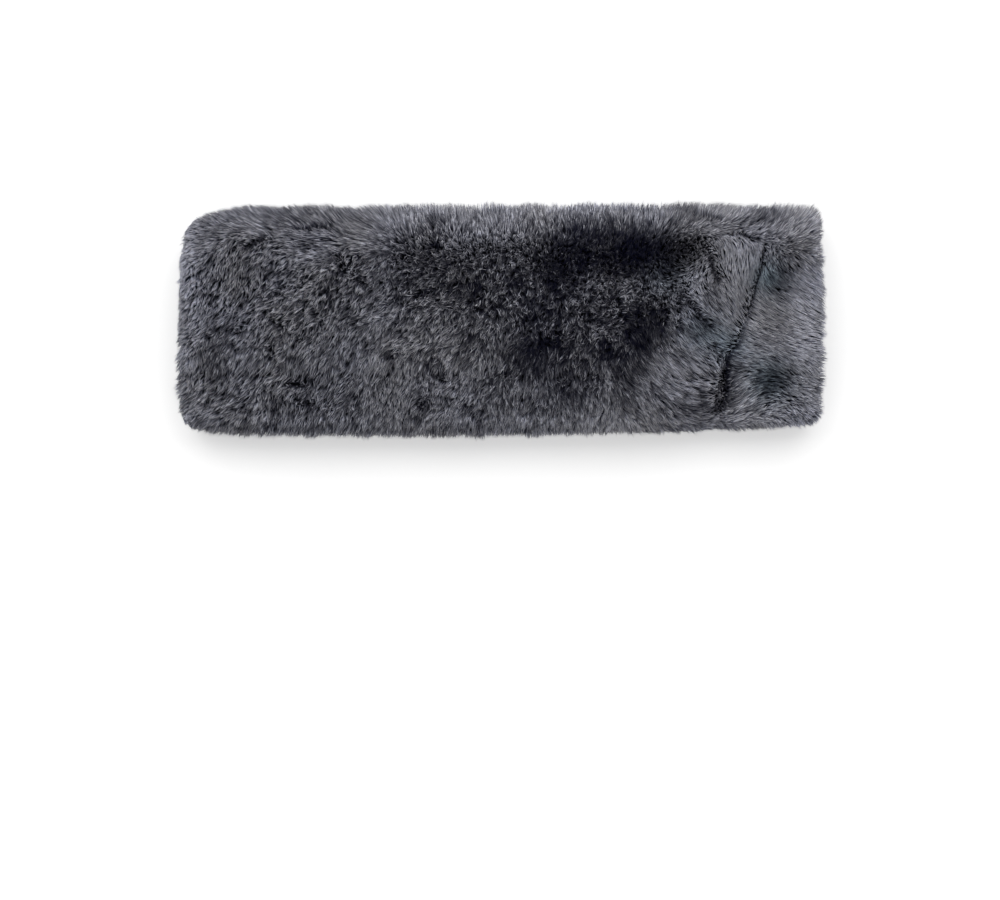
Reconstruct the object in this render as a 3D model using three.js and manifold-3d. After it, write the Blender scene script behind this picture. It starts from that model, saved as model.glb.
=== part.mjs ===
// Sheepskin shoulder pad for a car seat belt.
// One piece of woolled hide is folded round the belt with its wool outwards, and its two long
// edges are closed with hook and loop tape. The pad lies on its back panel, front panel up.
// Millimetres. +X runs along the belt, +Y points from the taped edges to the fold, +Z is up,
// and the origin is on the surface that the pad lies on, under its middle.

import * as THREE from "three";
import { mergeVertices } from "three/addons/utils/BufferGeometryUtils.js";
import Module from "manifold-3d";

// Hide
const hideLength = 264; // between the two cut ends
const panelWidth = 71; // from the cut long edges to the start of the fold
const hideThickness = 1.5;

// Belt passage between the two panels
const passageHeight = 7; // where the belt runs
const passageEase = 12; // width over which the front panel comes down to the tapes

// Wool
const frontPile = 12.5; // length of the wool on the front panel
const foldPile = 11.5; // it parts and lies lower where the hide bends
const backPile = 9.5; // pressed by the weight of the pad
const backSpread = 1.2; // how much longer the pressed wool is than the room under the hide
const leanZone = 18; // width along each cut edge in which the wool leans outwards
const endLean = 24; // degrees, at the cut ends
const endFan = 50; // degrees, the outermost wool of the ends
const edgeLean = 30; // degrees, at the long edges
const fanShrink = 0.22; // share by which the outermost wool is shorter
const fanCalm = 0.6; // share by which the outermost wool of the ends is more even
const settleWidth = 48; // width over which the top of the wool comes down to the long edges
const seamGap = 0.8; // between the wool of the two long edges, where they meet

// Closure
const tapeWidth = 16;
const tapeLength = 256;
const tapeInset = 1.5; // from the cut long edge of the hide
const hookTapeThickness = 1.3;
const loopTapeThickness = 1.5;
const selvedgeWidth = 2.5; // plain border of a tape, which takes the stitching
const selvedgeThickness = 0.7;
const clearance = 0.3; // between pieces that lie on each other
const stitchPress = 0.2; // how far the stitching draws the tapes into the hide

// Surface of the fleece
const gridStep = 3.2; // distance between stations on the wool
const easeStep = 2; // the same where the passage comes down to the tapes
const foldStations = 13;
const fanStations = 4;
const tuftSize = 11; // distance between the tufts that the wool gathers into
const tuftRelief = 1.5; // how far they stand up or sink
const waveSize = 38; // distance between the broad swells of the pile
const waveRelief = 0.9;

// Partings: lines along which the wool has opened, as points (x, y) on the front panel.
const partings = [
  { points: [[114, 31], [106, 12], [98, -14], [95, -38]], width: 3.2, depth: 4.2 },
  { points: [[93, 26], [91, 16]], width: 3, depth: 3.6 },
  { points: [[76, 30], [86, 38], [104, 36]], width: 3, depth: 2.6 },
  { points: [[61, 8], [66, -2], [63, -13]], width: 4, depth: 3.6 },
  { points: [[-98, 37], [-109, 26]], width: 3.5, depth: 3.2 },
  { points: [[-72, 28], [-68, 18]], width: 3, depth: 2.6 },
  { points: [[-100, -12], [-97, -20]], width: 3, depth: 2.4 },
  { points: [[-27, 6], [-25, -16]], width: 3.4, depth: 2.2 },
  { points: [[4, 30], [-2, 8], [2, -24]], width: 4, depth: 1.6 },
];

// Hollows and swells: places where the pile lies lower or stands higher, as ellipses.
const swells = [
  { x: 46, y: 27, rx: 38, ry: 13, height: -2.6 },
  { x: 127, y: 21, rx: 9, ry: 12, height: -1.8 },
  { x: 117, y: -27, rx: 9, ry: 8, height: -2.4 },
  { x: 90, y: -36, rx: 15, ry: 7, height: -1.8 },
  { x: 84, y: 9, rx: 11, ry: 12, height: 2.2 },
  { x: 80, y: -24, rx: 15, ry: 12, height: 1.4 },
  { x: 106, y: 4, rx: 8, ry: 20, height: 0.9 },
  { x: -40, y: 12, rx: 30, ry: 22, height: 0.8 },
];

// Draws: places where the outline of the wool draws in, by so much along x and y, as it does
// round the corners and along the taped edge towards the +X end.
const draws = [
  { x: -140, y: 50, reach: 27, by: [8, -5.5] },
  { x: -140, y: -50, reach: 15, by: [3, 3.5] },
  { x: 140, y: -50, reach: 85, by: [-0.5, 4] },
  { x: 140, y: 50, reach: 14, by: [-3, -3] },
];

const halfLength = hideLength / 2;
const cutY = -panelWidth; // the fold starts at y = 0 until the pad is centred
const backInnerZ = backPile + hideThickness;
const closureGap = hookTapeThickness + loopTapeThickness + 3 * clearance;
const tapeInnerY = cutY + tapeInset + tapeWidth;
const tapeSeatZ = backInnerZ - stitchPress;
const edgeGap = closureGap - stitchPress; // height of the front panel's inside at the tapes
const innerRadius = passageHeight / 2;
const foldZ = backInnerZ + innerRadius;
const backRootZ = backInnerZ - hideThickness;
const edgeRootZ = tapeSeatZ + closureGap + hideThickness;
const seamZ = tapeSeatZ + closureGap / 2;
const foldReach = innerRadius + hideThickness + foldPile;
const edgeReach = frontPile * (1 - fanShrink / 2);
const middleY = (cutY - edgeReach + foldReach) / 2;

const degrees = THREE.MathUtils.degToRad;
const mix = THREE.MathUtils.lerp;
const ease = THREE.MathUtils.smoothstep;

// A repeatable number from 0 to 1 for a point of a whole-number grid.
function scatter(i, j) {
  const wave = Math.sin(i * 127.1 + j * 311.7) * 43758.5453;
  return wave - Math.floor(wave);
}

// Smooth unevenness from -1 to 1, with humps about one unit apart.
function unevenness(a, b) {
  const i = Math.floor(a);
  const j = Math.floor(b);
  const u = ease(a - i, 0, 1);
  const v = ease(b - j, 0, 1);
  const low = mix(scatter(i, j), scatter(i + 1, j), u);
  const high = mix(scatter(i, j + 1), scatter(i + 1, j + 1), u);
  return 2 * mix(low, high, v) - 1;
}

// Distance from (x, y) to a line of points.
function distanceTo(points, x, y) {
  let nearest = Infinity;
  for (let i = 1; i < points.length; i++) {
    const [ax, ay] = points[i - 1];
    const [bx, by] = points[i];
    const along = ((x - ax) * (bx - ax) + (y - ay) * (by - ay)) / ((bx - ax) ** 2 + (by - ay) ** 2);
    const t = THREE.MathUtils.clamp(along, 0, 1);
    nearest = Math.min(nearest, Math.hypot(x - mix(ax, bx, t), y - mix(ay, by, t)));
  }
  return nearest;
}

// How far the outline draws in at a root, along x and y.
function drawnIn(x, y) {
  const total = [0, 0];
  for (const draw of draws) {
    const share = 1 - ease(Math.hypot(x - draw.x, y - middleY - draw.y), 0, draw.reach);
    total[0] += draw.by[0] * share;
    total[1] += draw.by[1] * share;
  }
  return total;
}

// How far the pile stands above or below its plain length, at x and at a distance across the
// hide. The distance is counted along the hide, so it carries on over the fold.
function relief(x, across) {
  const y = cutY + across - middleY;
  let height = tuftRelief * unevenness(x / tuftSize, across / tuftSize);
  height += (tuftRelief / 2) * unevenness(x / (tuftSize / 2) + 31, across / (tuftSize / 2));
  height += waveRelief * unevenness(x / waveSize + 7, across / waveSize + 3);
  for (const swell of swells) {
    const reach = Math.hypot((x - swell.x) / swell.rx, (y - swell.y) / swell.ry);
    height += swell.height * (1 - ease(reach, 0, 1.4));
  }
  for (const parting of partings) {
    height -= parting.depth * (1 - ease(distanceTo(parting.points, x, y), 0, parting.width * 1.6));
  }
  return height;
}

// Height of the inside of the front panel over the back one. The panels close up at the tapes.
function gapAt(y) {
  return mix(edgeGap, passageHeight, ease(y, tapeInnerY, tapeInnerY + passageEase));
}

// How much longer the front wool is where it fills up the bend that the hide makes at the tapes.
function fillAt(y) {
  return mix(edgeGap, passageHeight, ease(y, cutY, cutY + settleWidth)) - gapAt(y);
}

// Even steps from start to end, none longer than the grid's.
function steps(start, end, step) {
  const count = Math.ceil(Math.abs(end - start) / step);
  return Array.from({ length: count + 1 }, (_, i) => mix(start, end, i / count));
}

// The angle at which a long edge's outermost wool just clears the seam.
function wrapAngle(rise, pile) {
  return Math.acos(THREE.MathUtils.clamp(rise / pile, -1, 1));
}

// Stations across the hide, from the front panel's cut edge over the fold to the back panel's.
// Each has its root on the hide's outer face, the way its wool points, and its wool's length.
function crossStations() {
  const stations = [];
  const add = (y, z, angle, pile, across, rough) =>
    stations.push({ y, z, up: Math.sin(angle), out: Math.cos(angle), pile, across, rough });
  const upright = Math.PI / 2;
  const shortPile = frontPile * (1 - fanShrink);
  const backWool = backPile * backSpread;
  const shortBack = backWool * (1 - fanShrink);
  const frontWrap = wrapAngle(seamZ + seamGap / 2 - edgeRootZ, shortPile);
  const backWrap = wrapAngle(backRootZ - seamZ + seamGap / 2, shortBack);
  const leanAt = (edge) => degrees(edgeLean) * (1 - ease(edge, 0, leanZone));

  for (let i = fanStations; i > 0; i--) {
    const share = i / fanStations;
    const angle = upright + mix(degrees(edgeLean), frontWrap, share);
    add(cutY, edgeRootZ, angle, mix(frontPile, shortPile, share), 0, 1 - share);
  }
  for (const y of steps(cutY, 0, gridStep)) {
    const edge = y - cutY;
    const z = backInnerZ + gapAt(y) + hideThickness;
    add(y, z, upright + leanAt(edge), frontPile + fillAt(y), edge, 1);
  }
  const radius = innerRadius + hideThickness;
  for (let i = 1; i < foldStations; i++) {
    const angle = mix(upright, -upright, i / foldStations);
    const end = angle > 0 ? frontPile : backWool;
    const pile = mix(foldPile, end, Math.abs(Math.sin(angle)) ** 2);
    const across = panelWidth + (upright - angle) * (radius + foldPile / 2);
    add(radius * Math.cos(angle), foldZ + radius * Math.sin(angle), angle, pile, across, 1);
  }
  const beyond = panelWidth + Math.PI * (radius + foldPile / 2);
  const coarse = steps(0, cutY + leanZone, 2.5 * gridStep);
  const fine = steps(cutY + leanZone, cutY, 1.2 * gridStep).slice(1);
  for (const y of [...coarse, ...fine]) {
    add(y, backRootZ, -upright - leanAt(y - cutY), backWool, beyond - y, 0.4);
  }
  for (let i = 1; i <= fanStations; i++) {
    const share = i / fanStations;
    const angle = -upright - mix(degrees(edgeLean), backWrap, share);
    add(cutY, backRootZ, angle, mix(backWool, shortBack, share), beyond - cutY, 0.4 * (1 - share));
  }
  return stations;
}

// Stations along the hide: where the wool is rooted, how far it leans to the end, and how long
// and how uneven it is, as shares.
function lengthStations() {
  const along = steps(-halfLength, halfLength, gridStep).map((x) => {
    const lean = degrees(endLean) * (1 - ease(halfLength - Math.abs(x), 0, leanZone));
    return { x, lean: Math.sign(x) * lean, pile: 1, rough: 1 };
  });
  const fan = Array.from({ length: fanStations - 1 }, (_, i) => {
    const share = (i + 1) / (fanStations - 1);
    const lean = degrees(mix(endLean, endFan, share));
    return { x: halfLength, lean, pile: 1 - fanShrink * share, rough: 1 - fanCalm * share };
  });
  fan.push({ x: halfLength, lean: 0, pile: 0, rough: 0 });
  const before = fan.map((s) => ({ ...s, x: -s.x, lean: -s.lean })).reverse();
  return [...before, ...along, ...fan];
}

// Outer end of the wool that grows from one station.
function woolTip(cross, length) {
  const rough = cross.rough * length.rough * relief(length.x, cross.across);
  const pile = Math.max(0, cross.pile + rough) * length.pile;
  const side = Math.cos(length.lean) * pile;
  const [pullX, pullY] = pile > 0 ? drawnIn(length.x, cross.y) : [0, 0];
  return [
    length.x + Math.sin(length.lean) * pile + pullX,
    cross.y + side * cross.out + pullY,
    Math.max(0, cross.z + side * cross.up),
  ];
}

// The wool and hide together, without the hollow: a skin over all wool tips, closed at the
// seam by the line of the cut edges and at both ends by the outline of the hide.
function fleeceGeometry() {
  const cross = crossStations();
  const lengths = lengthStations();
  const first = { ...cross[0], pile: 0, rough: 0 };
  const last = { ...cross[cross.length - 1], pile: 0, rough: 0 };
  const ring = [first, ...cross, last];
  const rings = lengths.map((length) => ring.map((station) => woolTip(station, length)));
  const positions = rings.flat(2);
  const index = [];
  const size = ring.length;
  for (let i = 1; i < rings.length; i++) {
    for (let j = 0; j < size; j++) {
      const next = (j + 1) % size;
      const [a, b] = [(i - 1) * size + j, i * size + j];
      const [c, d] = [i * size + next, (i - 1) * size + next];
      index.push(a, b, c, a, c, d);
    }
  }
  const outline = ring.map((station) => new THREE.Vector2(station.y, station.z));
  const ends = capFaces(outline);
  const lastRing = (rings.length - 1) * size;
  for (const [a, b, c] of ends) {
    index.push(a, c, b);
    index.push(lastRing + a, lastRing + b, lastRing + c);
  }
  const geometry = new THREE.BufferGeometry();
  geometry.setAttribute("position", new THREE.Float32BufferAttribute(positions, 3));
  geometry.setIndex(index);
  return geometry;
}

// Faces that fill the outline, as places in it. Points of the outline that coincide are skipped.
function capFaces(outline) {
  const kept = outline
    .map((_, i) => i)
    .filter((i) => i === 0 || outline[i].distanceTo(outline[i - 1]) > 1e-6);
  const faces = THREE.ShapeUtils.triangulateShape(kept.map((i) => outline[i]), []);
  return faces.map((face) => face.map((i) => kept[i]));
}

// The hollow inside the hide: the belt passage, and the slot between the edges for the tapes.
function hollowGeometry() {
  const past = 1; // how far the slot runs on, through the cut edges
  const topLine = steps(tapeInnerY + passageEase, tapeInnerY, easeStep);
  const shape = new THREE.Shape();
  shape.moveTo(cutY - past, tapeSeatZ);
  shape.lineTo(tapeInnerY + clearance, tapeSeatZ);
  shape.lineTo(tapeInnerY + clearance + stitchPress, backInnerZ);
  shape.lineTo(0, backInnerZ);
  shape.absarc(0, foldZ, innerRadius, -Math.PI / 2, Math.PI / 2, false);
  topLine.forEach((y) => shape.lineTo(y, backInnerZ + gapAt(y)));
  shape.lineTo(cutY - past, backInnerZ + edgeGap);
  shape.closePath();
  return alongBelt(shape, hideLength + 2 * past);
}

// An outline drawn in Y and Z, drawn out along X and centred.
function alongBelt(shape, length) {
  const geometry = new THREE.ExtrudeGeometry(shape, { depth: length, bevelEnabled: false, curveSegments: 8 });
  geometry.translate(0, 0, -length / 2);
  const yToZ = new THREE.Matrix4().makeBasis(
    new THREE.Vector3(0, 1, 0),
    new THREE.Vector3(0, 0, 1),
    new THREE.Vector3(1, 0, 0),
  );
  return geometry.applyMatrix4(yToZ);
}

// A closure tape: thin selvedges for the stitching, and a thicker middle of hooks or loops.
// facing is 1 if the middle stands up from the tape's back, and -1 if it hangs down from it.
function tapeGeometry(backZ, thickness, facing) {
  const outerY = cutY + tapeInset;
  const innerY = outerY + tapeWidth;
  const step = selvedgeThickness / 4; // the field's shoulders lean a little
  const corners = [
    [outerY, 0],
    [innerY, 0],
    [innerY, selvedgeThickness],
    [innerY - selvedgeWidth, selvedgeThickness],
    [innerY - selvedgeWidth - step, thickness],
    [outerY + selvedgeWidth + step, thickness],
    [outerY + selvedgeWidth, selvedgeThickness],
    [outerY, selvedgeThickness],
  ];
  const outline = corners.map(([y, height]) => new THREE.Vector2(y, backZ + facing * height));
  return alongBelt(new THREE.Shape(outline), tapeLength);
}

const wasm = await Module();
wasm.setup();

// A geometry as a solid. Faces that have shrunk to a line are dropped.
function toSolid(geometry) {
  const bare = geometry.clone();
  bare.deleteAttribute("normal");
  bare.deleteAttribute("uv");
  const merged = mergeVertices(bare, 1e-4);
  const corners = merged.index.array;
  const kept = [];
  for (let i = 0; i < corners.length; i += 3) {
    const [a, b, c] = corners.slice(i, i + 3);
    if (a !== b && b !== c && c !== a) kept.push(a, b, c);
  }
  const vertProperties = merged.attributes.position.array;
  return new wasm.Manifold(new wasm.Mesh({ numProp: 3, vertProperties, triVerts: new Uint32Array(kept) }));
}

function toGeometry(solid) {
  const mesh = solid.getMesh();
  const geometry = new THREE.BufferGeometry();
  geometry.setAttribute("position", new THREE.BufferAttribute(mesh.vertProperties, 3));
  geometry.setIndex(new THREE.BufferAttribute(mesh.triVerts, 1));
  geometry.computeVertexNormals();
  return geometry;
}

function piece(name, geometry, color, roughness) {
  const mesh = new THREE.Mesh(geometry, new THREE.MeshStandardMaterial({ color, roughness, metalness: 0 }));
  mesh.name = name;
  return mesh;
}

const fleece = toSolid(fleeceGeometry());
const hollow = toSolid(hollowGeometry());
const sheepskin = piece("sheepskin", toGeometry(fleece.subtract(hollow)), 0x4a4b55, 0.95);

const hookBackZ = tapeSeatZ + clearance;
const loopBackZ = tapeSeatZ + closureGap - clearance;
const hookTape = piece("hook_tape", tapeGeometry(hookBackZ, hookTapeThickness, 1), 0x17181b, 0.6);
const loopTape = piece("loop_tape", tapeGeometry(loopBackZ, loopTapeThickness, -1), 0x1b1c20, 0.9);

const pad = new THREE.Group();
pad.add(sheepskin, hookTape, loopTape);

const extent = new THREE.Box3().setFromObject(sheepskin);
const centre = extent.getCenter(new THREE.Vector3());
for (const mesh of pad.children) mesh.position.set(-centre.x, -centre.y, -extent.min.z);

export default pad;
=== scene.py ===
# %% [markdown]
# # A sheepskin shoulder pad for a seat belt
# The pad is one piece of dyed, woolled hide. It is folded lengthwise round the belt with its
# wool outwards, and hook and loop tape closes its two long edges. The CAD model gives the form:
# the outer skin of the fleece, the belt passage and the two tapes. This lesson dresses it: a
# dense underwool, painted dark for the shade deep in the pile, more than a hundred thousand
# strands of wool, the suede inside, and the tapes with their hooks, loops and stitching.

import itertools
import math

import bmesh
import bpy
import numpy as np
from mathutils import Matrix, Vector
from mathutils.bvhtree import BVHTree
from mathutils.kdtree import KDTree


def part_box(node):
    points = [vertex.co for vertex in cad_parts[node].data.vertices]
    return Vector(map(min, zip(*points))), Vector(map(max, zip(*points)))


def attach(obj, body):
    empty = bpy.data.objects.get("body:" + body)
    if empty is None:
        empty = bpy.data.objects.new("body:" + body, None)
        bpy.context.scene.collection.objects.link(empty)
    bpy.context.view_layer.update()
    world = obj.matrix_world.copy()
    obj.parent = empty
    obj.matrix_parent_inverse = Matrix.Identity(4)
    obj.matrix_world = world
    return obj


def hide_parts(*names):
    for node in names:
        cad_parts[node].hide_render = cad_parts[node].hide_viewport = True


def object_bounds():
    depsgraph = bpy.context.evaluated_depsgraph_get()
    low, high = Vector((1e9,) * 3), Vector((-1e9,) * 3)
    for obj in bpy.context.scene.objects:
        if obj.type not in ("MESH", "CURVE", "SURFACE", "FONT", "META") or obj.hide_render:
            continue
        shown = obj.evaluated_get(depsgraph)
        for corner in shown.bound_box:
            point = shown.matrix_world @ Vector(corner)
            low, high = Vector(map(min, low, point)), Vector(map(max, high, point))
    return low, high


MM = 0.001
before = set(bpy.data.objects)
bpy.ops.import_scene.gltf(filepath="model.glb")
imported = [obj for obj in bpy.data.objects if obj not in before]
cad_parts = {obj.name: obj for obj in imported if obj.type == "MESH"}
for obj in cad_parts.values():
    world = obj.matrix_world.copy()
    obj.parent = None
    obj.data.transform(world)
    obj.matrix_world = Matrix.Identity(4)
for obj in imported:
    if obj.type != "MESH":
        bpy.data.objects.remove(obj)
cad_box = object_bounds()
print("CAD nodes:", sorted(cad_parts))

# %% [markdown]
# ## Where the hide lies
# All wool grows from the hide, so the script first needs to know where that is. The sizes of the
# hide are the maker's: a strip cut 264 mm long. The hook tape is sewn 1.5 mm from the cut long
# edge, on the inside of the back panel, and so its box in the frame says where the edge and the
# inside are. Everything else is counted from there.

# %% Sizes of the hide
HIDE_LENGTH = 264 * MM
HIDE_THICKNESS = 1.5 * MM
PANEL_WIDTH = 71 * MM
PASSAGE_HEIGHT = 7 * MM
TAPE_INSET = 1.5 * MM
CLEARANCE = 0.3 * MM
STITCH_PRESS = 0.2 * MM  # how far the stitching draws the tapes into the hide
TOLERANCE = 0.02 * MM

hook_low, hook_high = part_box("hook_tape")
loop_low, loop_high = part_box("loop_tape")
cut_y = hook_low.y - TAPE_INSET
fold_y = cut_y + PANEL_WIDTH
back_inner_z = hook_low.z - CLEARANCE + STITCH_PRESS
fold_z = back_inner_z + PASSAGE_HEIGHT / 2
print(f"cut edge y {cut_y:.4f}, fold y {fold_y:.4f}, inside of the back z {back_inner_z:.4f}")

# %% [markdown]
# ## Camera, light and floor
# The picture to match looks straight down on a white table, and the pad lies above the middle of
# the frame, so the camera stands a little to the side of the taped edge. One wide soft lamp
# beyond the fold gives the soft shadow along the taped edge, and a grey world fills the rest.
# Together they light a white card to about its own colour. The table looks white because the
# camera sees some glow added to it, which lights nothing.

# %% Camera
FRAME_WIDTH = 432 * MM  # what the picture's width covers at the middle of the pad's height
CAMERA_Y = -55.9 * MM
CAMERA_HEIGHT = 1.2
LENS = 100 * MM

scene = bpy.context.scene


def new_object(name, data):
    """A new object in the scene."""
    made = bpy.data.objects.new(name, data)
    scene.collection.objects.link(made)
    return made


middle_z = (cad_box[0][2] + cad_box[1][2]) / 2
camera_data = bpy.data.cameras.new("camera")
camera_data.lens = LENS / MM
camera_data.sensor_width = LENS / MM * FRAME_WIDTH / (CAMERA_HEIGHT - middle_z)
camera = new_object("camera", camera_data)
camera.location = (0, CAMERA_Y, CAMERA_HEIGHT)
scene.camera = camera
scene.view_settings.view_transform = "Standard"
print(f"camera sensor {camera_data.sensor_width:.1f} mm")


# %% Node helpers
def shader_tree(name):
    """A new material with an empty node tree, and the tree."""
    material = bpy.data.materials.new(name)
    material.use_nodes = True
    material.node_tree.nodes.clear()
    return material, material.node_tree


def node(tree, kind, inputs=(), **settings):
    """A shader node with its settings. An input is a value, or the output of another node."""
    made = tree.nodes.new("ShaderNode" + kind)
    for name, value in settings.items():
        setattr(made, name, value)
    for name, value in dict(inputs).items():
        if isinstance(value, bpy.types.NodeSocket):
            tree.links.new(value, made.inputs[name])
        else:
            made.inputs[name].default_value = value
    return made


def surface(tree, shader):
    """Make this shader the surface of a material."""
    node(tree, "OutputMaterial", {"Surface": shader.outputs[0]})


def maths(tree, operation, first, second):
    """What a maths node makes of two values."""
    return node(tree, "Math", {0: first, 1: second}, operation=operation).outputs[0]


# %% Lamp and world
LAMP_POWER = 10.5
LAMP_WIDTH = 1.8
LAMP_DEPTH = 1.0
LAMP_PLACE = Vector((-0.03, 0.62, 1.05))
WORLD_GREY = (0.5, 0.5, 0.5, 1)

lamp_data = bpy.data.lights.new("softbox", "AREA")
lamp_data.energy = LAMP_POWER
lamp_data.shape = "RECTANGLE"
lamp_data.size = LAMP_WIDTH
lamp_data.size_y = LAMP_DEPTH
lamp = new_object("softbox", lamp_data)
lamp.location = LAMP_PLACE
lamp.rotation_euler = (-LAMP_PLACE).to_track_quat("-Z", "Y").to_euler()
lamp.visible_camera = False

world = bpy.data.worlds.new("studio")
world.use_nodes = True
scene.world = world
world_tree = world.node_tree
world_tree.nodes.clear()
world_path = node(world_tree, "LightPath")
grey = node(world_tree, "Background", {"Color": WORLD_GREY})
white = node(world_tree, "Background", {"Color": (1, 1, 1, 1)})
seen = node(world_tree, "MixShader", {0: world_path.outputs["Is Camera Ray"]})
world_tree.links.new(grey.outputs[0], seen.inputs[1])
world_tree.links.new(white.outputs[0], seen.inputs[2])
node(world_tree, "OutputWorld", {"Surface": seen.outputs[0]})
print("lamp at", [round(v, 2) for v in lamp.location])

# %% Floor
FLOOR_SIZE = 6.0
FLOOR_GREY = (0.88, 0.88, 0.88, 1)
FLOOR_GLOW = 0.38

floor_mesh = bpy.data.meshes.new("floor")
floor_bm = bmesh.new()
bmesh.ops.create_grid(floor_bm, x_segments=1, y_segments=1, size=FLOOR_SIZE / 2)
floor_bm.to_mesh(floor_mesh)
floor_bm.free()
floor = new_object("floor", floor_mesh)

floor_material, floor_tree = shader_tree("white_table")
table = node(floor_tree, "BsdfDiffuse", {"Color": FLOOR_GREY})
floor_path = node(floor_tree, "LightPath")
glow_share = maths(floor_tree, "MULTIPLY", floor_path.outputs["Is Camera Ray"], FLOOR_GLOW)
glow = node(floor_tree, "Emission", {"Strength": glow_share})
lit = node(floor_tree, "AddShader", {0: table.outputs[0], 1: glow.outputs[0]})
surface(floor_tree, lit)
floor.data.materials.append(floor_material)
print("floor is", FLOOR_SIZE, "m wide")

# %% [markdown]
# ## The skin of the fleece
# The CAD solid's outside is the surface that the wool's ends reach. Its inside and its cut edges
# are the hide. One copy with its corners merged serves for both: faces whose corners all lie
# within the hide's thickness are leather, and the rest are wool. The wool is rooted on the other
# side of the leather, so the inside faces, moved out by the hide's thickness, give the ground
# that it grows on.


# %% Read the skin
MERGE_DISTANCE = 0.001 * MM


def shape_of(bm):
    """The points and faces of a bmesh."""
    points = np.array([v.co for v in bm.verts])
    return points, np.array([[v.index for v in f.verts] for f in bm.faces])


def on_hide(points):
    """True for each point that lies within the folded hide."""
    x, y, z = points.T
    past_fold = np.maximum(y - fold_y, 0)
    reach = PASSAGE_HEIGHT / 2 + HIDE_THICKNESS + TOLERANCE
    inside = np.hypot(past_fold, z - fold_z) <= reach
    return inside & (np.abs(x) <= HIDE_LENGTH / 2 + TOLERANCE) & (y >= cut_y - TOLERANCE)


skin_bm = bmesh.new()
skin_bm.from_mesh(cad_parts["sheepskin"].data)
bmesh.ops.remove_doubles(skin_bm, verts=skin_bm.verts, dist=MERGE_DISTANCE)
bmesh.ops.triangulate(skin_bm, faces=skin_bm.faces)
skin_bm.normal_update()
skin_points, skin_faces = shape_of(skin_bm)
skin_normals = np.array([v.normal for v in skin_bm.verts])
hide_point = on_hide(skin_points)
hide_face = hide_point[skin_faces].all(axis=1)
print(f"skin: {len(skin_faces)} faces, {hide_face.sum()} of them hide")


# %% The ground that the wool grows on
END_FACING = 0.5  # a face belongs to a cut end if its normal points so far along the belt

ground_bm = skin_bm.copy()
ground_bm.faces.ensure_lookup_table()
edge_limit = cut_y + HIDE_THICKNESS / 2
for face, leather in zip(ground_bm.faces, hide_face):
    end_face = abs(face.normal.x) > END_FACING
    cut_face = max(v.co.y for v in face.verts) < edge_limit
    face.tag = bool(leather) and not end_face and not cut_face
others = [f for f in ground_bm.faces if not f.tag]
bmesh.ops.delete(ground_bm, geom=others, context="FACES")
ground_bm.normal_update()
for vert in ground_bm.verts:
    vert.co -= vert.normal * HIDE_THICKNESS
ground_tree = BVHTree.FromBMesh(ground_bm)
print(f"ground: {len(ground_bm.faces)} faces")
ground_bm.free()


def feet(points):
    """For each point, the nearest point of the ground, and the distance to it."""
    found = [ground_tree.find_nearest(p) for p in points.tolist()]
    return np.array([f[0] for f in found]), np.array([f[3] for f in found])
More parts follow.
